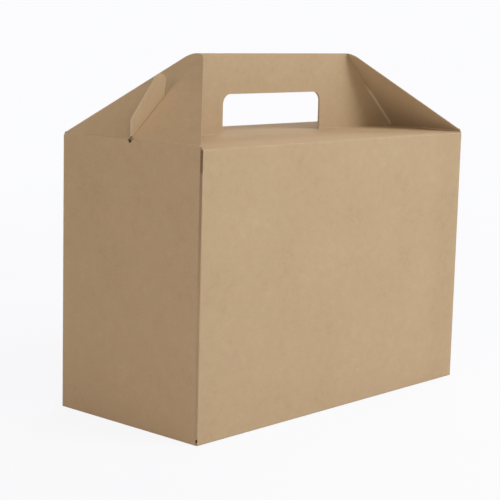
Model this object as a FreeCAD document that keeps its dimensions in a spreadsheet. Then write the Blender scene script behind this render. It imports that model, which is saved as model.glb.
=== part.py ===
import FreeCAD, Part
import math
import os
import re
import Sketcher

# A carry carton with a gabled handle, folded from one sheet of thin brown kraft board. Its front
# faces -Y, its end walls face -X and +X, and it stands on z = 0. The front and back walls fold
# over into nearly level shoulders, which fold up into two handle panels that stand face to face.
# On each end wall a three-sided flap leans in against the panels' sloping ends. Their hooked ears
# stand out through a slit in the flap and hold it down.

os.makedirs("parts", exist_ok=True)
doc = FreeCAD.newDocument("carry_carton")

# Driving sizes in millimetres, and one angle in degrees
SIZES = {
    # Outside of the carton, the board, and the inner radius of its folds
    "carton_length": 260.0,
    "carton_depth": 122.0,
    "wall_height": 175.0,
    "board": 0.6,
    "fold_inner": 0.4,
    # Rise of the shoulders to the handle panels, these panels' height above the walls, and the hand
    # hole, which starts at the crease and sits a little left of the middle
    "shoulder_rise": 1.2,
    "handle_height": 52.5,
    "panel_gap": 0.2,
    "hand_hole_width": 96.0,
    "hand_hole_height": 25.5,
    "hand_hole_corner": 6.5,
    "hand_hole_shift": 2.4,
    # End flaps: lean above the level, rounded tip, and how far their sides would run past the handle.
    # The end walls stand a little above the shoulders, so that the flaps fold clear of them.
    "flap_lean": 42.3,
    "flap_tip_radius": 10.0,
    "flap_overrun": 7.2,
    "flap_side_inset": 1.5,
    "end_wall_rise": 1.35,
    "punch_radius": 1.8,
    "foot_inset": 3.0,
    # Ear, measured along the flap and out from it, where it has no height of its own
    "ear_inset": 1.1,
    "ear_shank": 13.5,
    "ear_throat": 36.4,
    "hook_reach": 46.0,
    "hook_rise": 14.2,
    "hook_heel": 7.4,
    "hook_tip_radius": 4.5,
    "hook_heel_radius": 3.0,
    # Clearances: flap to its seat, flap to what it swings past, and ear to the sides of its slit
    "rest_gap": 0.1,
    "swing_gap": 0.3,
    "slit_clearance": 0.3,
    "slit_rounding": 0.8,
    # Glue flap behind the front wall, at its left edge
    "glue_flap_width": 28.0,
    "glue_flap_top": 13.0,
    "glue_flap_foot": 3.7,
    "glue_flap_taper": 9.0,
    "joint_setback": 0.9,
    # Snap-lock bottom: front lock flap with its tongue, and the two side flaps
    "lock_flap_depth": 58.0,
    "lock_flap_taper": 7.0,
    "tongue_width": 92.0,
    "tongue_taper": 7.0,
    "tongue_shown": 14.0,
    "tongue_hidden": 18.0,
    "tongue_corner": 4.0,
    "side_flap_reach": 66.0,
    "side_flap_chamfer": 24.0,
    # How far a cutting outline runs past the board that it cuts
    "overcut": 2.0,
}
sizes = doc.addObject("Spreadsheet::Sheet", "sizes")
for row, (name, size) in enumerate(SIZES.items(), start=1):
    sizes.set(f"A{row}", name)
    sizes.set(f"B{row}", str(size))
    sizes.setAlias(f"B{row}", name)
doc.recompute()

# Places that follow from the driving sizes, as expressions for the sketches
half_length = "(carton_length / 2)"
half_depth = "(carton_depth / 2)"
fold_outer = "(fold_inner + board)"
floor_top = "(3 * board)"
handle_top = "(wall_height + handle_height)"
crease_height = "(wall_height + shoulder_rise)"
panel_face = "(panel_gap / 2 + board)"
end_wall_top = "(wall_height + end_wall_rise)"
hinge_height = "(wall_height + end_wall_rise + rest_gap)"
shoulder_under = f"(wall_height - board - {fold_outer})"
ear_foot = f"({end_wall_top} + punch_radius + swing_gap)"
seat_depth = "(board + rest_gap)"
hook_sweep = "(sqrt((hook_reach - hook_tip_radius)^2 + (hook_rise - hook_tip_radius)^2) + hook_tip_radius)"
slit_end = f"({hook_sweep} + slit_clearance)"
slit_half = "(panel_gap / 2 + board + slit_clearance)"
flap_point = f"(({handle_top} - {hinge_height}) / sin(flap_lean) + flap_overrun)"
flap_half = "(carton_depth / 2 - flap_side_inset)"


def value(words):
    """The number that an expression of sizes gives now."""
    return float(sizes.evalExpression(words))


def bound(words):
    """The same expression with each size led back to the table."""
    return re.sub(r"[a-z_]+", lambda word: f"sizes.{word[0]}" if word[0] in SIZES else word[0], words)


def on_flap(along, out):
    """Place in the XZ plane of a point given along the left flap and out from its upper face."""
    across = f"-{half_length} + ({along}) * cos(flap_lean) - ({out}) * sin(flap_lean)"
    up = f"{hinge_height} + ({along}) * sin(flap_lean) + ({out}) * cos(flap_lean)"
    return across, up


def new_sketch(body, role, name, rise="0"):
    """An empty sketch on one of the body's own origin planes, raised along the plane's normal."""
    plane = next(feature for feature in body.Origin.OriginFeatures if feature.Role == role)
    sketch = body.newObject("Sketcher::SketchObject", name)
    sketch.AttachmentSupport = [(plane, "")]
    sketch.MapMode = "FlatFace"
    sketch.setExpression("AttachmentOffset.Base.z", bound(rise))
    return sketch


def pin(sketch, geometry, end, across, up):
    """Tie a point of a sketch to the origin by two sizes, or to an axis where a size is nothing."""
    for kind, axis, words in (("DistanceX", -2, across), ("DistanceY", -1, up)):
        if words == "0":
            sketch.addConstraint(Sketcher.Constraint("PointOnObject", geometry, end, axis))
        else:
            index = sketch.addConstraint(Sketcher.Constraint(kind, -1, 1, geometry, end, value(words)))
            sketch.setExpression(f"Constraints[{index}]", bound(words))


def draw_outline(sketch, corners):
    """Close straight sides round the corners. A corner is (across, up) or (across, up, radius)."""
    points = [FreeCAD.Vector(value(corner[0]), value(corner[1]), 0) for corner in corners]
    count = len(corners)
    entries = []
    exits = []
    arcs = []
    for number, corner in enumerate(corners):
        point = points[number]
        if len(corner) == 2:
            entries.append(point)
            exits.append(point)
            arcs.append(None)
            continue
        radius = value(corner[2])
        back = (points[number - 1] - point).normalize()
        ahead = (points[(number + 1) % count] - point).normalize()
        half_angle = back.getAngle(ahead) / 2
        trim = radius / math.tan(half_angle)
        centre = point + (back + ahead).normalize() * (radius / math.sin(half_angle))
        entry = point + back * trim
        leave = point + ahead * trim
        turns_left = back.cross(ahead).z < 0
        first, last = (entry, leave) if turns_left else (leave, entry)
        angles = [math.atan2(spot.y - centre.y, spot.x - centre.x) for spot in (first, last)]
        circle = Part.Circle(centre, FreeCAD.Vector(0, 0, 1), radius)
        entries.append(entry)
        exits.append(leave)
        arcs.append((Part.ArcOfCircle(circle, angles[0], angles[1]), turns_left))
    sides = [sketch.addGeometry(Part.LineSegment(exits[number], entries[(number + 1) % count]))
             for number in range(count)]
    for number, corner in enumerate(corners):
        side_in = sides[number - 1]
        side_out = sides[number]
        if arcs[number] is None:
            sketch.addConstraint(Sketcher.Constraint("Coincident", side_in, 2, side_out, 1))
            pin(sketch, side_out, 1, corner[0], corner[1])
            continue
        shape, turns_left = arcs[number]
        arc = sketch.addGeometry(shape)
        start, finish = (1, 2) if turns_left else (2, 1)
        sketch.addConstraint(Sketcher.Constraint("Tangent", side_in, 2, arc, start))
        sketch.addConstraint(Sketcher.Constraint("Tangent", side_out, 1, arc, finish))
        index = sketch.addConstraint(Sketcher.Constraint("Radius", arc, value(corner[2])))
        sketch.setExpression(f"Constraints[{index}]", bound(corner[2]))
        sharp = sketch.addGeometry(Part.Point(points[number]), True)
        sketch.addConstraint(Sketcher.Constraint("PointOnObject", sharp, 1, side_in))
        sketch.addConstraint(Sketcher.Constraint("PointOnObject", sharp, 1, side_out))
        pin(sketch, sharp, 1, corner[0], corner[1])


def draw_rectangle(sketch, left, low, right, high):
    """Close a plain rectangle between two places across and two up."""
    draw_outline(sketch, [(left, low), (right, low), (right, high), (left, high)])


def draw_circle(sketch, across, up, radius):
    """Draw a circle with a pinned centre."""
    centre = FreeCAD.Vector(value(across), value(up), 0)
    circle = sketch.addGeometry(Part.Circle(centre, FreeCAD.Vector(0, 0, 1), value(radius)))
    pin(sketch, circle, 3, across, up)
    index = sketch.addConstraint(Sketcher.Constraint("Radius", circle, value(radius)))
    sketch.setExpression(f"Constraints[{index}]", bound(radius))


def extrude(body, kind, sketch, name, length=None, both_ways=False, backwards=False):
    """Pad or pocket a sketch by a length, or right through, and see that it changed the solid."""
    doc.recompute()
    before = 0 if body.Shape.isNull() else body.Shape.Volume
    feature = body.newObject(f"PartDesign::{kind}", name)
    feature.Profile = sketch
    feature.Reversed = backwards
    if both_ways:
        feature.SideType = "Symmetric"
    if length is None:
        feature.Type = "ThroughAll"
    else:
        feature.setExpression("Length", bound(length))
    doc.recompute()
    change = feature.Shape.Volume - before
    if (change <= 0) == (kind == "Pad"):
        raise ValueError(f"{name} doesn't change the solid as it should")
    return feature


def mirror_features(body, name, features):
    """Repeat the left end's features at the right end."""
    plane = next(feature for feature in body.Origin.OriginFeatures if feature.Role == "YZ_Plane")
    mirrored = body.newObject("PartDesign::Mirrored", name)
    mirrored.Originals = features
    mirrored.MirrorPlane = (plane, [""])
    body.Tip = mirrored
    doc.recompute()


def fold_walls(body):
    """Walls, shoulders and handle panels as the sheet's bent section, hollow inside."""
    section = new_sketch(body, "YZ_Plane", "folded_section")
    draw_outline(section, [
        (f"-{half_depth}", "0", fold_outer),
        (f"{half_depth}", "0", fold_outer),
        (f"{half_depth}", "wall_height", fold_outer),
        (f"{panel_face}", crease_height, "fold_inner"),
        (f"{panel_face}", handle_top),
        (f"-{panel_face}", handle_top),
        (f"-{panel_face}", crease_height, "fold_inner"),
        (f"-{half_depth}", "wall_height", fold_outer),
    ])
    extrude(body, "Pad", section, "folded_body", "carton_length", both_ways=True)

    inside = new_sketch(body, "YZ_Plane", "inner_section")
    inner_side = f"({half_depth} - board)"
    draw_outline(inside, [
        (f"-{inner_side}", floor_top, "fold_inner"),
        (f"{inner_side}", floor_top, "fold_inner"),
        (f"{inner_side}", "wall_height - board", "fold_inner"),
        ("panel_gap / 2", f"{crease_height} - board", fold_outer),
        ("panel_gap / 2", f"{handle_top} + overcut"),
        ("-panel_gap / 2", f"{handle_top} + overcut"),
        ("-panel_gap / 2", f"{crease_height} - board", fold_outer),
        (f"-{inner_side}", "wall_height - board", "fold_inner"),
    ])
    extrude(body, "Pocket", inside, "hollow", "carton_length - 2 * board", both_ways=True)

    gap = new_sketch(body, "YZ_Plane", "panel_gap_section")
    draw_rectangle(gap, "-panel_gap / 2", f"{crease_height} - board",
                   "panel_gap / 2", f"{handle_top} + overcut")
    extrude(body, "Pocket", gap, "gap_between_panels", both_ways=True)


def trim_corners(body):
    """Round the upright folds and the end folds of the bottom, and open the glued corner."""
    footprint = new_sketch(body, "XY_Plane", "footprint")
    draw_rectangle(footprint, f"-{half_length} - overcut", f"-{half_depth} - overcut",
                   f"{half_length} + overcut", f"{half_depth} + overcut")
    wall_end = f"-{half_depth} + board + {fold_outer}"
    draw_outline(footprint, [
        (f"{half_length}", f"-{half_depth}", fold_outer),
        (f"{half_length}", f"{half_depth}", fold_outer),
        (f"-{half_length}", f"{half_depth}", fold_outer),
        (f"-{half_length}", wall_end),
        (f"-{half_length} + {fold_outer}", wall_end),
        (f"-{half_length} + {fold_outer}", f"-{half_depth} + board"),
        (f"-{half_length} + joint_setback", f"-{half_depth} + board"),
        (f"-{half_length} + joint_setback", f"-{half_depth}"),
    ])
    extrude(body, "Pocket", footprint, "upright_folds", both_ways=True)

    side_view = new_sketch(body, "XZ_Plane", "bottom_folds_outline")
    draw_outline(side_view, [
        (f"-{half_length} - overcut", "-overcut"),
        (f"{half_length} + overcut", "-overcut"),
        (f"{half_length} + overcut", f"{handle_top} + overcut"),
        (f"{half_length}", f"{handle_top} + overcut"),
        (f"{half_length}", "0", fold_outer),
        (f"-{half_length}", "0", fold_outer),
        (f"-{half_length}", f"{handle_top} + overcut"),
        (f"-{half_length} - overcut", f"{handle_top} + overcut"),
    ])
    extrude(body, "Pocket", side_view, "bottom_folds", both_ways=True)


def cut_end(body):
    """Shape one end: raised wall edge, shoulder ends, punched hole, and the panels' hooked ear."""
    lip = new_sketch(body, "YZ_Plane", "end_wall_edge_outline", f"-{half_length}")
    lip_side = f"({half_depth} - {fold_outer})"
    draw_outline(lip, [
        (f"-{lip_side}", f"wall_height - {fold_outer}"),
        (lip_side, f"wall_height - {fold_outer}"),
        (lip_side, "wall_height"),
        (flap_half, end_wall_top),
        (f"-{flap_half}", end_wall_top),
        (f"-{lip_side}", "wall_height"),
    ])
    edge = extrude(body, "Pad", lip, "end_wall_edge", "board")

    shoulder = new_sketch(body, "XY_Plane", "shoulder_end_outline", shoulder_under)
    draw_rectangle(shoulder, f"-{half_length} + board", f"-{half_depth} + board",
                   f"-{half_length} + board + swing_gap", f"{half_depth} - board")
    shoulder_cut = extrude(body, "Pocket", shoulder, "shoulder_end", f"{ear_foot} - {shoulder_under}",
                           backwards=True)

    foot = new_sketch(body, "XY_Plane", "ear_foot_outline", shoulder_under)
    draw_rectangle(foot, f"-{half_length} + board", "-punch_radius - swing_gap",
                   f"-{half_length} + foot_inset", "punch_radius + swing_gap")
    foot_cut = extrude(body, "Pocket", foot, "ear_foot", f"{ear_foot} - {shoulder_under}", backwards=True)

    punch = new_sketch(body, "YZ_Plane", "punched_hole_outline", f"-{half_length}")
    draw_circle(punch, "0", end_wall_top, "punch_radius")
    punch_cut = extrude(body, "Pocket", punch, "punched_hole", "board", backwards=True)

    ear = new_sketch(body, "XZ_Plane", "ear_outline")
    ear_side = f"-{half_length} + ear_inset"
    beyond = f"-{half_length} - overcut"
    seat_top = f"(({handle_top} - {hinge_height} + {seat_depth} * cos(flap_lean) + overcut) / sin(flap_lean))"
    seat_end = on_flap(seat_top, f"-{seat_depth}")
    draw_outline(ear, [
        (beyond, end_wall_top),
        (ear_side, end_wall_top),
        (ear_side, "wall_height + ear_shank"),
        (*on_flap("hook_reach", "hook_rise"), "hook_tip_radius"),
        (*on_flap("hook_reach", "hook_heel"), "hook_heel_radius"),
        on_flap("ear_throat", f"-{seat_depth}"),
        seat_end,
        (beyond, seat_end[1]),
    ])
    ear_cut = extrude(body, "Pocket", ear, "hooked_ear", both_ways=True)
    return [edge, shoulder_cut, foot_cut, punch_cut, ear_cut]


def cut_hand_hole(body):
    """Cut the hand hole through both panels, with its lower edge on the shoulder's crease."""
    hole = new_sketch(body, "XZ_Plane", "hand_hole_outline")
    left = "-hand_hole_width / 2 - hand_hole_shift"
    right = "hand_hole_width / 2 - hand_hole_shift"
    draw_outline(hole, [
        (left, crease_height),
        (right, crease_height),
        (right, f"{crease_height} + hand_hole_height", "hand_hole_corner"),
        (left, f"{crease_height} + hand_hole_height", "hand_hole_corner"),
    ])
    extrude(body, "Pocket", hole, "hand_hole", both_ways=True)


def glue_corner(body):
    """Fold the left wall behind the front wall as the tapered glue flap."""
    fold = new_sketch(body, "XY_Plane", "glue_fold_section", "glue_flap_foot")
    face = f"-{half_depth} + board"
    draw_outline(fold, [
        (f"-{half_length}", face, fold_outer),
        (f"-{half_length} + {fold_outer} + board", face),
        (f"-{half_length} + {fold_outer} + board", f"{face} + board"),
        (f"-{half_length} + board", f"{face} + board", "fold_inner"),
        (f"-{half_length} + board", f"{face} + {fold_outer} + board"),
        (f"-{half_length}", f"{face} + {fold_outer} + board"),
    ])
    extrude(body, "Pad", fold, "glue_fold", "wall_height - glue_flap_top - glue_flap_foot")

    flap = new_sketch(body, "XZ_Plane", "glue_flap_outline", f"{half_depth} - 2 * board")
    root = f"-{half_length} + {fold_outer}"
    edge = f"-{half_length} + glue_flap_width"
    draw_outline(flap, [
        (root, "glue_flap_foot"),
        (edge, "glue_flap_foot + glue_flap_taper"),
        (edge, "wall_height - glue_flap_top - glue_flap_taper"),
        (root, "wall_height - glue_flap_top"),
    ])
    extrude(body, "Pad", flap, "glue_flap", "board")


def lock_bottom(body):
    """Part the layers of the snap-lock bottom: lock flap below, side flaps above, back flap on top."""
    side = f"({half_length} - {fold_outer})"
    front = f"-{half_depth} + {fold_outer}"
    back = f"{half_depth} - {fold_outer}"
    free_edge = f"-{half_depth} + lock_flap_depth"
    tongue_end = f"{free_edge} + tongue_shown"
    tongue = [
        ("tongue_width / 2", free_edge),
        ("tongue_width / 2 - tongue_taper", tongue_end, "tongue_corner"),
        ("-tongue_width / 2 + tongue_taper", tongue_end, "tongue_corner"),
        ("-tongue_width / 2", free_edge),
    ]
    below = new_sketch(body, "XY_Plane", "lock_flap_outline")
    draw_outline(below, [
        (f"-{side}", front),
        (f"-{side}", back),
        (side, back),
        (side, front),
        (f"{side} - lock_flap_taper", free_edge),
        *tongue,
        (f"-{side} + lock_flap_taper", free_edge),
    ])
    extrude(body, "Pocket", below, "lock_flap", "board", backwards=True)

    reach = f"({half_length} - side_flap_reach)"
    between = new_sketch(body, "XY_Plane", "side_flaps_outline")
    draw_outline(between, [
        (f"-{reach}", free_edge),
        (f"-{reach}", f"{back} - side_flap_chamfer"),
        (f"-{reach} - side_flap_chamfer", back),
        (f"{reach} + side_flap_chamfer", back),
        (reach, f"{back} - side_flap_chamfer"),
        (reach, free_edge),
        *tongue,
    ])
    extrude(body, "Pocket", between, "side_flaps", "2 * board", backwards=True)

    tip = new_sketch(body, "XY_Plane", "tongue_tip_outline", floor_top)
    inner_end = f"{tongue_end} + tongue_hidden"
    draw_outline(tip, [
        ("tongue_width / 2 - tongue_taper", tongue_end),
        ("tongue_width / 2 - 2 * tongue_taper", inner_end, "tongue_corner"),
        ("-tongue_width / 2 + 2 * tongue_taper", inner_end, "tongue_corner"),
        ("-tongue_width / 2 + tongue_taper", tongue_end),
    ])
    extrude(body, "Pad", tip, "tongue_tip", "board")


def build_carton():
    """The folded sheet without its two end flaps."""
    body = doc.addObject("PartDesign::Body", "carton")
    body.Label = "carton"
    fold_walls(body)
    trim_corners(body)
    mirror_features(body, "right_end", cut_end(body))
    cut_hand_hole(body)
    glue_corner(body)
    lock_bottom(body)
    return body


def build_flap(name, side):
    """An end flap, hinged on the end wall's top edge; side is -1 at the left and 1 at the right."""
    body = doc.addObject("PartDesign::Body", name)
    body.Label = name
    along = -side

    panel = new_sketch(body, "XY_Plane", f"{name}_outline")
    draw_outline(panel, [
        ("0", f"-{flap_half}"),
        (f"{along} * {flap_point}", "0", "flap_tip_radius"),
        ("0", flap_half),
    ])
    extrude(body, "Pad", panel, f"{name}_panel", "board", backwards=True)

    mitre = new_sketch(body, "XZ_Plane", f"{name}_mitre_outline")
    draw_outline(mitre, [
        ("0", "0"),
        (f"{along} * (board + overcut) / tan(flap_lean)", "-(board + overcut)"),
        (f"{side} * overcut", "-(board + overcut)"),
        (f"{side} * overcut", "0"),
    ])
    extrude(body, "Pocket", mitre, f"{name}_mitre", both_ways=True)

    slit = new_sketch(body, "XY_Plane", f"{name}_slit_outline")
    draw_outline(slit, [
        (f"{side} * overcut", f"-{slit_half}"),
        (f"{along} * {slit_end}", f"-{slit_half}", "slit_rounding"),
        (f"{along} * {slit_end}", slit_half, "slit_rounding"),
        (f"{side} * overcut", slit_half),
    ])
    extrude(body, "Pocket", slit, f"{name}_slit", both_ways=True)

    punch = new_sketch(body, "XY_Plane", f"{name}_punch_outline")
    draw_circle(punch, "0", "0", "punch_radius")
    extrude(body, "Pocket", punch, f"{name}_punch", both_ways=True)

    body.setExpression("Placement.Base.x", bound(f"{side} * {half_length}"))
    body.setExpression("Placement.Base.z", bound(hinge_height))
    body.Placement.Rotation.Axis = FreeCAD.Vector(0, 1, 0)
    body.setExpression("Placement.Rotation.Axis.y", "1")
    body.setExpression("Placement.Rotation.Angle", bound(f"{side} * flap_lean"))
    return body


bodies = [
    build_carton(),
    build_flap("end_flap_left", -1),
    build_flap("end_flap_right", 1),
]
doc.recompute()

for item in doc.Objects:
    if "Invalid" in item.State or "Error" in item.State:
        raise ValueError(f"{item.Label} didn't compute")
    if item.TypeId == "Sketcher::SketchObject" and not item.FullyConstrained:
        raise ValueError(f"{item.Label} isn't fully constrained")
for body in bodies:
    if body.Shape.isNull() or not body.Shape.isValid():
        raise ValueError(f"{body.Label} has no valid shape")
    if len(body.Shape.Solids) != 1:
        raise ValueError(f"{body.Label} isn't one solid")
    body.Shape.exportStep(f"parts/{body.Label}.step")
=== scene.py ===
"""A kraft carry carton with a gabled handle, as it stands in the photograph."""

import math

import bpy
import numpy as np
from mathutils import Matrix, Vector


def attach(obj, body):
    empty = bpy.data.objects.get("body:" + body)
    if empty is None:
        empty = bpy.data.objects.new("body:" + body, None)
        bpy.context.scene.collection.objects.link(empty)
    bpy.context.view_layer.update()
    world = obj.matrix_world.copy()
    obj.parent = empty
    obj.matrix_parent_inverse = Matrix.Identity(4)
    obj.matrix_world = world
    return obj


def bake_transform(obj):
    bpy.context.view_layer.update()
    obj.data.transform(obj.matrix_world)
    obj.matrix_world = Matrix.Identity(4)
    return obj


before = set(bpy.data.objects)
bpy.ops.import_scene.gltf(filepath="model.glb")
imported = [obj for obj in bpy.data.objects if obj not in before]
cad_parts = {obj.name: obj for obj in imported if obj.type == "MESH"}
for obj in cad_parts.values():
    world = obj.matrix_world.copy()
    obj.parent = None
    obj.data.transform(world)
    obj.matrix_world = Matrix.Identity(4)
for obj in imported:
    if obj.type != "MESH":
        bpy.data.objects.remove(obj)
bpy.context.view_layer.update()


# Carton. One sheet of thin brown kraft board, folded to walls, shoulders and two handle panels
# with hooked ears. A glued flap at the front left edge and a snap-lock bottom hold it.
# Kraft board is unbleached paper: faintly cloudy, hairy with short fibres, and flecked with bark.
LINER = (0.520, 0.368, 0.232, 1.0)
LINER_DARK = (0.478, 0.334, 0.206, 1.0)
LINER_PALE = (0.560, 0.402, 0.260, 1.0)
FIBRE = (0.610, 0.455, 0.310, 1.0)
BARK = (0.300, 0.190, 0.105, 1.0)
# The cut edges' pale colour, also laid as a painted highlight beside the right flap's slit.
CUT_EDGE_AND_PAINTED_HIGHLIGHT = (0.700, 0.560, 0.415, 1.0)
# Painted shade for the glued corner's groove and the fold in it.
PAINTED_GROOVE_SHADE = (0.200, 0.125, 0.072, 1.0)
INNER = (0.560, 0.455, 0.315, 1.0)
FIBRE_SHARE = 0.25
BARK_SHARE = 0.4
INNER_SHARE = 0.8

# Lumps in a metre of each pattern, and in metres how far its lumps stand out. The streaks are
# drawn out to five times their width.
CLOUDS = 20
MOTTLE = 150
GRAIN = 800
STREAKS = 1300
STREAK_PULL = 0.2
FIBRES = 420
FIBRE_PATCHES = 130
BARK_CELLS = 240.0
BARK_PATCHES = 60
CLOUD_HEIGHT = 0.0004
MOTTLE_HEIGHT = 0.00004
GRAIN_HEIGHT = 0.00002
FIBRE_HEIGHT = 0.00001

# Each pair says at which value of a pattern a mark starts and at which it is full.
DARK_TO_PLAIN = (0.26, 0.50)
PLAIN_TO_PALE = (0.50, 0.76)
FIBRE_LINE = (0.018, 0.002)
FIBRE_PATCH = (0.52, 0.60)
BARK_SPOT = (0.11, 0.04)
BARK_PATCH = (0.56, 0.66)
ROUGHNESS = 0.84
GLOSS = 0.25


class Wire:
    """One socket of a material. Sums and products of wires add Math nodes."""

    def __init__(self, tree, socket=None):
        self.tree = tree
        self.socket = socket

    def add(self, kind, settings=None, values=None, out=0):
        """A new node of that kind. Its settings come first, then each socket takes a value or a wire."""
        node = self.tree.nodes.new(kind)
        for name, setting in (settings or {}).items():
            setattr(node, name, setting)
        for name, value in (values or {}).items():
            if isinstance(value, Wire):
                self.tree.links.new(value.socket, node.inputs[name])
            else:
                node.inputs[name].default_value = value
        return Wire(self.tree, node.outputs[out] if node.outputs else None)

    def maths(self, operation, *terms):
        """A Math node on one, two or three terms, each a wire or a number."""
        return self.add("ShaderNodeMath", {"operation": operation}, dict(enumerate(terms)))

    def __add__(self, other):
        return self.maths("ADD", self, other)

    __radd__ = __add__

    def __sub__(self, other):
        return self.maths("SUBTRACT", self, other)

    def __rsub__(self, other):
        return self.maths("SUBTRACT", other, self)

    def __mul__(self, other):
        return self.maths("MULTIPLY", self, other)

    __rmul__ = __mul__

    def size(self):
        """The wire's value without its sign."""
        return self.maths("ABSOLUTE", self)

    def root(self):
        """The square root."""
        return self.maths("SQRT", self)

    def at_most(self, top):
        """The wire's value, or the top value where that is less."""
        return self.maths("MINIMUM", self, top)

    def rise(self, low, high):
        """0 below low and 1 above high, smooth between. With low above high it falls instead."""
        return self.add(
            "ShaderNodeMapRange",
            {"interpolation_type": "SMOOTHSTEP"},
            {"Value": self, "From Min": low, "From Max": high},
        )

    def split(self):
        """The X, Y and Z of a vector wire."""
        parts = self.tree.nodes.new("ShaderNodeSeparateXYZ")
        self.tree.links.new(self.socket, parts.inputs[0])
        return [Wire(self.tree, out) for out in parts.outputs]

    def scaled(self, factors):
        """A vector wire times a fixed vector."""
        return self.add("ShaderNodeVectorMath", {"operation": "MULTIPLY"}, {0: self, 1: factors})

    def noise(self, per_metre, detail, roughness=0.5):
        """Noise read at this place: about 0.5 on average, with lumps of 1 / per_metre metres."""
        return self.add(
            "ShaderNodeTexNoise",
            None,
            {"Vector": self, "Scale": per_metre, "Detail": detail, "Roughness": roughness},
        )

    def blend(self, first, second):
        """The first colour where this wire is 0 and the second where it is 1.

        A Mix node's colours are its inputs 6 and 7 and its output 2.
        """
        return self.add(
            "ShaderNodeMix",
            {"data_type": "RGBA"},
            {"Factor": self, 6: first, 7: second},
            out=2,
        )


def nowhere(place, normal):
    """0 everywhere."""
    return place.split()[0] * 0.0


def kraft_board(
    name,
    cut_edges_and_painted_light=nowhere,
    painted_shade=nowhere,
    inner_face=nowhere,
    edge=CUT_EDGE_AND_PAINTED_HIGHLIGHT,
    bow=nowhere,
):
    """Material for the board. Its marks and its bow are functions of the place and the normal.

    cut_edges_and_painted_light gives 1 on the knife-cut edges and on a painted highlight, which take the
    edge colour;
    on the flaps that colour is painted shade. painted_shade gives 1 where shade is painted dark into
    a groove, and inner_face 1 on the carton's inner side, which is greyer.
    bow gives the metres by which a panel stands out of its plane.
    """
    material = bpy.data.materials.new(name)
    material.use_nodes = True
    tree = material.node_tree
    tree.nodes.clear()
    start = Wire(tree)
    place = start.add("ShaderNodeTexCoord", out="Object")
    normal = start.add("ShaderNodeTexCoord", out="Normal")

    # The tone: clouds of 50 mm, mottle of 7 mm and grain of 1 mm, with faint streaks both ways.
    clouds = place.noise(CLOUDS, 3, 0.5)
    mottle = place.noise(MOTTLE, 4, 0.6)
    grain = place.noise(GRAIN, 3, 0.6)
    upright = place.scaled((1.0, 1.0, STREAK_PULL)).noise(STREAKS, 2, 0.6)
    level = place.scaled((STREAK_PULL, STREAK_PULL, 1.0)).noise(STREAKS, 2, 0.6)
    tone = 0.5 + (clouds - 0.5) * 0.4 + (mottle - 0.5) * 0.5 + (grain - 0.5) * 0.5
    tone = tone + (upright - 0.5) * 0.2 + (level - 0.5) * 0.2

    # Fibres lie where a noise crosses its middle value, and bark is the middle of a few cells.
    hairs = (place.noise(FIBRES, 1, 0.5) - 0.5).size().rise(*FIBRE_LINE)
    hairs = hairs * place.noise(FIBRE_PATCHES, 2).rise(*FIBRE_PATCH)
    cells = place.add("ShaderNodeTexVoronoi", None, {"Vector": place, "Scale": BARK_CELLS})
    bark = cells.rise(*BARK_SPOT) * place.noise(BARK_PATCHES, 2).rise(*BARK_PATCH)

    colour = tone.rise(*DARK_TO_PLAIN).blend(LINER_DARK, LINER)
    colour = tone.rise(*PLAIN_TO_PALE).blend(colour, LINER_PALE)
    colour = (hairs * FIBRE_SHARE).blend(colour, FIBRE)
    colour = (bark * BARK_SHARE).blend(colour, BARK)
    colour = (inner_face(place, normal) * INNER_SHARE).blend(colour, INNER)
    # Cut edges take the edge colour, which also paints a highlight on the carton and shade on the flaps;
    # grooves take painted shade.
    colour = cut_edges_and_painted_light(place, normal).blend(colour, edge)
    colour = painted_shade(place, normal).blend(colour, PAINTED_GROOVE_SHADE)

    height = (clouds - 0.5) * CLOUD_HEIGHT + (mottle - 0.5) * MOTTLE_HEIGHT
    height = height + (grain - 0.5) * GRAIN_HEIGHT
    height = height + hairs * FIBRE_HEIGHT + bow(place, normal)
    bump = start.add("ShaderNodeBump", None, {"Height": height, "Strength": 1.0, "Distance": 1.0})
    shader = start.add(
        "ShaderNodeBsdfPrincipled",
        None,
        {
            "Base Color": colour,
            "Roughness": ROUGHNESS + (mottle - 0.5) * 0.2,
            "Specular IOR Level": GLOSS,
            "Normal": bump,
        },
    )
    start.add("ShaderNodeOutputMaterial", None, {"Surface": shader})
    return material


# Where the end flaps lean from, which the marks beside them follow.
FLAP_LEAN = math.radians(42.3)
CREASE_X = 0.130
CREASE_Z = 0.17645

# The marks on the carton, in metres. Each pair says where a mark starts and where it is full.
MARK_START = 0.0002
HANDLE_FOOT = 0.1768
SHOULDER_UNDER = 0.1737
SHOULDER_END = 0.1292
FRONT_INSIDE = -0.0604
# Where the painted highlight lies beside the right flap's slit.
PAINTED_HIGHLIGHT_DEPTH = (-0.0026, -0.0024)
PAINTED_HIGHLIGHT_TOP = (0.206, 0.200)
PAINTED_HIGHLIGHT_FACE = (-0.0005, -0.0006)
# Where painted shade darkens the glued corner's groove, and its share at the foot and the top.
GROOVE_BACK = (-0.0586, -0.0597)
GROOVE_FRONT = (-0.06045, -0.0603)
GROOVE_RIGHT = (-0.1285, -0.1288)
GROOVE_HEIGHT = (0.06, 0.17)
GROOVE_FOOT_SHARE = 0.25
GROOVE_TOP_SHARE = 0.70
BOW_ALONG = (0.096, 0.134)
BOW_FACE = (-0.0600, -0.0605)
BOW_HEIGHT = 0.0045

# The same for parts of the normal: on the handle's edges it turns from y, on the ends to x.
HANDLE_EDGE = (0.7, 0.3)
PANEL_END = (0.85, 0.95)


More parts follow.
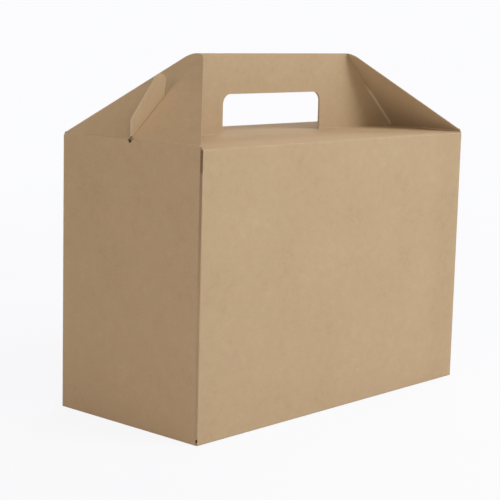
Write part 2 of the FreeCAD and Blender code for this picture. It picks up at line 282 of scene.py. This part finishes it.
def carton_cuts_and_painted_highlight(place, normal):
    """1 on the handle's edges above its foot, the shoulders' ends, and the front wall's left edge.

    A cut edge is where the normal lies in the plane of the panel. The front panel also takes a painted
    highlight: a pale strip along the right flap's slit, just under the flap's upper face.
    """
    x, y, z = place.split()
    nx, ny, nz = normal.split()
    in_handle = z.rise(HANDLE_FOOT, HANDLE_FOOT + MARK_START)
    in_shoulder = z.rise(SHOULDER_UNDER, SHOULDER_UNDER + MARK_START) * (1 - in_handle)
    in_shoulder = in_shoulder * x.size().rise(SHOULDER_END + 0.5 * MARK_START, SHOULDER_END)
    in_front = y.rise(FRONT_INSIDE + MARK_START, FRONT_INSIDE) * (1 - in_handle)
    ends = (in_shoulder + in_front).at_most(1.0)
    out = (x - CREASE_X) * math.sin(FLAP_LEAN) + (z - CREASE_Z) * math.cos(FLAP_LEAN)
    # Painted highlight: the edge colour laid as a pale strip beside the right flap's slit.
    painted_slit_highlight = out.rise(*PAINTED_HIGHLIGHT_DEPTH) * z.rise(*PAINTED_HIGHLIGHT_TOP) * in_handle * y.rise(*PAINTED_HIGHLIGHT_FACE)
    return painted_slit_highlight + in_handle * ny.size().rise(*HANDLE_EDGE) + ends * nx.size().rise(*PANEL_END)


def glued_corner_painted_shade(place, normal):
    """A share of painted shade in the groove of the glued corner, behind the front wall's left edge,
    less low down.
    """
    x, y, z = place.split()
    across = y.rise(*GROOVE_BACK) * y.rise(*GROOVE_FRONT) * x.rise(*GROOVE_RIGHT)
    gain = GROOVE_TOP_SHARE - GROOVE_FOOT_SHARE
    return across * (GROOVE_FOOT_SHARE + z.rise(*GROOVE_HEIGHT) * gain)


def front_bow(place, normal):
    """The front wall's relief rises towards its right fold, so its face turns a little to the left."""
    x, y, z = place.split()
    return x.rise(*BOW_ALONG) * y.rise(*BOW_FACE) * BOW_HEIGHT


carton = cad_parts["carton"]
carton.data.materials.clear()
carton.data.materials.append(
    kraft_board("kraft board of the carton", carton_cuts_and_painted_highlight, glued_corner_painted_shade, bow=front_bow)
)


# End flaps. Each leans in over the handle's sloping end, with the ears hooked out through its slit.
# It is folded from the end wall, so its lower edge is a crease and its other edges are cut.
# Painted shade: the flaps' cut edges are coloured dark for the shade they lie in.
PAINTED_SHADE_ON_EDGES = (0.400, 0.280, 0.170, 1.0)
CURL_ALONG = (0.042, 0.082)
CURL_HEIGHT = 0.0035
FLAP_EDGE = (0.9, 0.6)
FLAP_UNDERSIDE = (-0.4, -0.6)
FLAP_UPPER_FACE = (0.4, 0.6)


def flap_cuts(place, normal):
    """1 where the normal lies in the plane of the leaning flap."""
    nx, ny, nz = normal.split()
    facing = nx.size() * math.sin(FLAP_LEAN) + nz.size() * math.cos(FLAP_LEAN)
    return facing.rise(*FLAP_EDGE)


def flap_inside(place, normal):
    """1 where the normal points down to the handle."""
    nx, ny, nz = normal.split()
    return nz.rise(*FLAP_UNDERSIDE)


def flap_curl(place, normal):
    """The flap's point lifts a little: its upper face's relief rises from the middle to the tip."""
    x, y, z = place.split()
    nx, ny, nz = normal.split()
    along = (CREASE_X - x.size()) * math.cos(FLAP_LEAN) + (z - CREASE_Z) * math.sin(FLAP_LEAN)
    return along.rise(*CURL_ALONG) * nz.rise(*FLAP_UPPER_FACE) * CURL_HEIGHT


for side in ("left", "right"):
    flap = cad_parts[f"end_flap_{side}"]
    flap.data.materials.clear()
    look = kraft_board(
        f"kraft board of the {side} flap",
        flap_cuts,
        inner_face=flap_inside,
        edge=PAINTED_SHADE_ON_EDGES,
        bow=flap_curl,
    )
    flap.data.materials.append(look)


# Creases of the end flaps. The outer paper runs on from the wall over the fold to the flap.
# It is pressed in along a ruled line, stretches as the flap opens, and ends at the punched hole.
CREASE_HALF = 0.0594
CREASE_STEPS = 25
PUNCH_RADIUS = 0.0018
PAPER_LIFT = 0.00003
PAPER_SUNK = -0.00004
BEND_RADIUS = 0.00028
BEND_POINTS = 7
ON_WALL = 0.00012
ON_FLAP = 0.0011


def crease_section(lift):
    """Points (out, up) of the bent paper at a lift from the board, from the wall to the flap.

    The two straight parts meet at the fold's sharp corner plus the lift along both normals, and an
    arc about a centre on the corner's bisector joins them.
    """
    turn = math.pi / 2 - FLAP_LEAN
    bisector = np.array([math.cos(turn / 2), math.sin(turn / 2)])
    corner = bisector * lift / math.cos(turn / 2)
    radius = BEND_RADIUS + lift
    centre = corner - bisector * radius / math.cos(turn / 2)
    angles = np.linspace(0.0, turn, BEND_POINTS)
    arc = centre + radius * np.stack([np.cos(angles), np.sin(angles)], axis=1)
    low = np.array([[lift, -ON_WALL]])
    high = ON_FLAP * np.array([-math.cos(FLAP_LEAN), math.sin(FLAP_LEAN)])
    high = high + lift * np.array([math.sin(FLAP_LEAN), math.cos(FLAP_LEAN)])
    return np.concatenate([low, arc, high[None, :]])


def crease_paper(name, side, y_from, y_to):
    """The bent paper of one half of a crease, as a closed strip: the section at even steps of y.

    No point stands past the wall's face. Only the outer face of the paper is shaded smooth.
    """
    outer = crease_section(PAPER_LIFT)
    inner = crease_section(PAPER_SUNK)[::-1]
    ring = np.concatenate([outer, inner])
    steps = np.linspace(y_from, y_to, CREASE_STEPS)
    points = np.empty((len(steps), len(ring), 3))
    points[:, :, 0] = side * (CREASE_X + np.minimum(ring[None, :, 0], 0.0))
    points[:, :, 1] = steps[:, None]
    points[:, :, 2] = CREASE_Z + ring[None, :, 1]

    count = len(ring)
    around = np.arange(count)
    rows = np.arange(len(steps) - 1)[:, None] * count
    near = (rows + around[None, :]).ravel()
    following = (rows + (around[None, :] + 1) % count).ravel()
    faces = np.stack([near, following, following + count, near + count], axis=1)
    if side > 0:
        faces = faces[:, ::-1]
    last = (len(steps) - 1) * count
    caps = [around[::side].tolist(), (last + around)[::-side].tolist()]
    smooth = np.tile(around < len(outer) - 1, len(steps) - 1).tolist()

    mesh = bpy.data.meshes.new(name)
    mesh.from_pydata(points.reshape(-1, 3).tolist(), [], faces.tolist() + caps)
    mesh.polygons.foreach_set("use_smooth", smooth + [False, False])
    made = bpy.data.objects.new(name, mesh)
    bpy.context.scene.collection.objects.link(made)
    return made


for side, end in ((-1, "left"), (1, "right")):
    paper_look = kraft_board(f"kraft board of the {end} crease")
    for half, y_from, y_to in (
        ("front", -CREASE_HALF, -PUNCH_RADIUS),
        ("back", PUNCH_RADIUS, CREASE_HALF),
    ):
        strip = crease_paper(f"crease_{end}_{half}", side, y_from, y_to)
        strip.data.materials.append(paper_look)
        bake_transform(strip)


# Slit ends. Each flap's slit is a knife cut without width, and past the ear its two halves close up.
# The closed part is the same board as the flap. The paper springs open there for the ear's hook.
SLIT_FROM = 0.0382
SLIT_TO = 0.0472
SLIT_HALF = 0.00097
BOARD_OUT = -0.00006
BOARD_IN = -0.00056


def plate(name, under, over):
    """A six-sided plate between two faces of four corners each.

    Both faces run anticlockwise as seen from outside the second one, so that every side faces out.
    """
    sides = [(3, 2, 1, 0), (4, 5, 6, 7), (0, 1, 5, 4), (1, 2, 6, 5), (2, 3, 7, 6), (3, 0, 4, 7)]
    mesh = bpy.data.meshes.new(name)
    mesh.from_pydata(np.concatenate([under, over]).tolist(), [], sides)
    made = bpy.data.objects.new(name, mesh)
    bpy.context.scene.collection.objects.link(made)
    return made


def flap_face(side, along, across, out):
    """Four corners of a rectangle on a flap, anticlockwise as seen from outside.

    along and across are its ranges from the crease and from the flap's middle, and out is how far
    it stands from the flap's upper face. The left flap is the right one, turned half round.
    """
    steps = np.array([along[0], along[1], along[1], along[0]])
    y = np.array([across[1], across[1], across[0], across[0]])
    x = CREASE_X - steps * math.cos(FLAP_LEAN) + out * math.sin(FLAP_LEAN)
    z = CREASE_Z + steps * math.sin(FLAP_LEAN) + out * math.cos(FLAP_LEAN)
    return np.stack([side * x, side * y, z], axis=1)


for side, end in ((-1, "left"), (1, "right")):
    place = ((SLIT_FROM, SLIT_TO), (-SLIT_HALF, SLIT_HALF))
    closed = plate(
        f"slit_end_{end}",
        flap_face(side, *place, BOARD_IN),
        flap_face(side, *place, BOARD_OUT),
    )
    closed.data.materials.append(kraft_board(f"kraft board of the {end} slit end"))
    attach(closed, f"end_flap_{end}")


# Right ear's foot. At the right end the punch left the panels' corner and the shoulder's corner on.
# They are board of the carton's own sheet, and no light shows through the hole there.
# Each block has a name, an outer end, half its thickness, and its lowest and highest level.
FOOT_FROM = 0.1268
FOOT_BLOCKS = (
    ("ear_foot_right", 0.12885, 0.00069, 0.17600, 0.17860),
    ("shoulder_corner_right", 0.12905, 0.00208, 0.17562, 0.17642),
)


def level_face(x_from, x_to, y_from, y_to, z):
    """Four corners of a level rectangle, anticlockwise from above."""
    return np.array([(x_from, y_from, z), (x_to, y_from, z), (x_to, y_to, z), (x_from, y_to, z)])


for name, foot_to, half, low, high in FOOT_BLOCKS:
    block = plate(
        name,
        level_face(FOOT_FROM, foot_to, -half, half, low),
        level_face(FOOT_FROM, foot_to, -half, half, high),
    )
    block.data.materials.append(kraft_board(f"kraft board of {name}"))
    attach(block, "carton")


# Right flap's punched hole. The punch left a small web of board on each side of the ear's foot.
# Each web is the flap's own board, a little sunk between its two faces.
WEB_ALONG = (0.0001, 0.0030)
WEB_INSIDE = 0.00072
WEB_OUTSIDE = 0.00170

for half, across in (
    ("front", (-WEB_OUTSIDE, -WEB_INSIDE)),
    ("back", (WEB_INSIDE, WEB_OUTSIDE)),
):
    web = plate(
        f"punch_web_{half}",
        flap_face(1, WEB_ALONG, across, BOARD_IN),
        flap_face(1, WEB_ALONG, across, BOARD_OUT),
    )
    web.data.materials.append(kraft_board(f"kraft board of {web.name}"))
    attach(web, "end_flap_right")


# Glued corner's fold. The fold of the glue flap runs on in the gap at the corner's top.
# It is a narrow piece of the left wall, coloured dark brown all over in painted shade for the gap.
FOLD_X = (-0.1298, -0.1291)
FOLD_Y = (-0.0603, -0.0595)
FOLD_LOW = 0.1612
FOLD_HIGH = 0.1738


def everywhere(place, normal):
    """1 everywhere."""
    return nowhere(place, normal) + 1.0


fold = plate(
    "glue_fold_top",
    level_face(*FOLD_X, *FOLD_Y, FOLD_LOW),
    level_face(*FOLD_X, *FOLD_Y, FOLD_HIGH),
)
fold.data.materials.append(kraft_board("board in painted shade", painted_shade=everywhere))
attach(fold, "carton")


# White studio. A wide floor of white paper keeps a soft shadow and fades into a white room.
# The room gives a little even light, and big soft lamps stand around.
FLOOR_HALF = 4.0
FLOOR_LINES = 17
FLOOR_DROP = 0.0002
FADE = (0.45, 1.3)
WHITE = (0.970, 0.970, 0.990, 1.0)
PAPER = (0.80, 0.80, 0.80, 1.0)
SHADOW_SHARE = (0.09, 0.09, 0.09, 1.0)
GLOW = 0.915
ROOM_LIGHT = (1.00, 0.97, 0.93, 1.0)
ROOM_STRENGTH = 0.03
LAMPS_FACE = (0.0, 0.0, 0.11)


def studio_floor():
    """A level square just under z = 0, cut into a grid."""
    steps = np.linspace(-FLOOR_HALF, FLOOR_HALF, FLOOR_LINES)
    x, y = np.meshgrid(steps, steps, indexing="ij")
    count = len(steps)
    points = np.stack([x.ravel(), y.ravel(), np.full(x.size, -FLOOR_DROP)], axis=1)
    first = (np.arange(count - 1)[:, None] * count + np.arange(count - 1)[None, :]).ravel()
    faces = np.stack([first, first + count, first + count + 1, first + 1], axis=1)
    mesh = bpy.data.meshes.new("studio_floor")
    mesh.from_pydata(points.tolist(), [], faces.tolist())
    made = bpy.data.objects.new("studio_floor", mesh)
    bpy.context.scene.collection.objects.link(made)
    return made


def background_rays(start):
    """1 for the rays that show the background: from the camera, off a gloss and through glass."""
    camera_rays = start.add("ShaderNodeLightPath", out="Is Camera Ray")
    gloss_rays = start.add("ShaderNodeLightPath", out="Is Glossy Ray")
    glass_rays = start.add("ShaderNodeLightPath", out="Is Transmission Ray")
    return (camera_rays + gloss_rays + glass_rays).at_most(1.0)


floor = studio_floor()
paper = bpy.data.materials.new("studio paper")
paper.use_nodes = True
paper.node_tree.nodes.clear()
start = Wire(paper.node_tree)
x, y, z = start.add("ShaderNodeTexCoord", out="Object").split()
far = (x * x + y * y).root().rise(*FADE)
matt = start.add("ShaderNodeBsdfDiffuse", None, {"Color": PAPER})
shadowed = start.add("ShaderNodeBsdfDiffuse", None, {"Color": SHADOW_SHARE})
glow = start.add("ShaderNodeEmission", None, {"Color": WHITE, "Strength": GLOW})
white = start.add("ShaderNodeEmission", None, {"Color": WHITE, "Strength": 1.0})
near_look = start.add("ShaderNodeAddShader", None, {0: shadowed, 1: glow})
seen_look = start.add("ShaderNodeMixShader", None, {0: far, 1: near_look, 2: white})
rays = background_rays(start)
look = start.add("ShaderNodeMixShader", None, {0: rays, 1: matt, 2: seen_look})
start.add("ShaderNodeOutputMaterial", None, {"Surface": look})
floor.data.materials.append(paper)

world = bpy.data.worlds.new("white room")
bpy.context.scene.world = world
world.use_nodes = True
world.node_tree.nodes.clear()
start = Wire(world.node_tree)
rays = background_rays(start)
room = start.add("ShaderNodeBackground", None, {"Color": ROOM_LIGHT, "Strength": ROOM_STRENGTH})
white = start.add("ShaderNodeBackground", None, {"Color": WHITE, "Strength": 1.0})
look = start.add("ShaderNodeMixShader", None, {0: rays, 1: room, 2: white})
start.add("ShaderNodeOutputWorld", None, {"Surface": look})


def soft_lamp(name, place, size, watts, colour):
    """A square lamp of a size in metres and a power in watts, facing the middle of the carton."""
    light = bpy.data.lights.new(name, "AREA")
    light.energy = watts
    light.size = size
    light.color = colour
    lamp = bpy.data.objects.new(name, light)
    bpy.context.scene.collection.objects.link(lamp)
    back = Vector(place) - Vector(LAMPS_FACE)
    lamp.matrix_world = Matrix.Translation(place) @ back.to_track_quat("Z", "Y").to_matrix().to_4x4()
    return lamp


soft_lamp("key lamp at the front right", (0.9, -1.6, 1.3), 1.0, 19.6, (0.96, 0.99, 1.0))
soft_lamp("lamp at the front left", (-1.2, -1.5, 0.9), 1.0, 6.8, (0.94, 1.0, 0.88))
soft_lamp("left lamp", (-2.0, -0.2, 0.6), 1.2, 11.8, (1.0, 0.88, 0.82))
soft_lamp("top lamp", (0.0, 0.0, 2.2), 1.2, 7.7, (1.0, 0.9, 0.74))
soft_lamp("back right lamp", (1.4, 0.8, 1.5), 1.0, 13.6, (1.0, 1.0, 1.0))
soft_lamp("low right lamp", (1.8, -1.2, 0.5), 1.0, 9.5, (0.88, 0.9, 1.0))
soft_lamp("high front lamp", (0.0, -1.2, 2.0), 1.2, 4.8, (1.0, 0.99, 0.8))
soft_lamp("high lamp in front", (0.35, -1.7, 1.4), 1.0, 4.1, (0.87, 1.0, 0.91))


# Camera. It looks at the front left edge from a little above, as in the photograph.
# It stands about a metre away, turned to the right, tilted down and rolled a little.
YAW = math.radians(-47.75)
TILT = math.radians(9.015)
ROLL = math.radians(1.45)
CAMERA_PLACE = (-0.7168, -0.6323, 0.2478)
FOCAL_PIXELS = 1440.5
PICTURE_PIXELS = 500
SENSOR_MM = 36.0

lens = bpy.data.cameras.new("camera")
lens.sensor_width = SENSOR_MM
lens.lens = SENSOR_MM * FOCAL_PIXELS / PICTURE_PIXELS
camera = bpy.data.objects.new("camera", lens)
bpy.context.scene.collection.objects.link(camera)
turn = Matrix.Rotation(YAW, 4, "Z") @ Matrix.Rotation(math.pi / 2 - TILT, 4, "X")
turn = turn @ Matrix.Rotation(ROLL, 4, "Z")
camera.matrix_world = Matrix.Translation(CAMERA_PLACE) @ turn
bpy.context.scene.camera = camera
bpy.context.scene.view_settings.view_transform = "Standard"
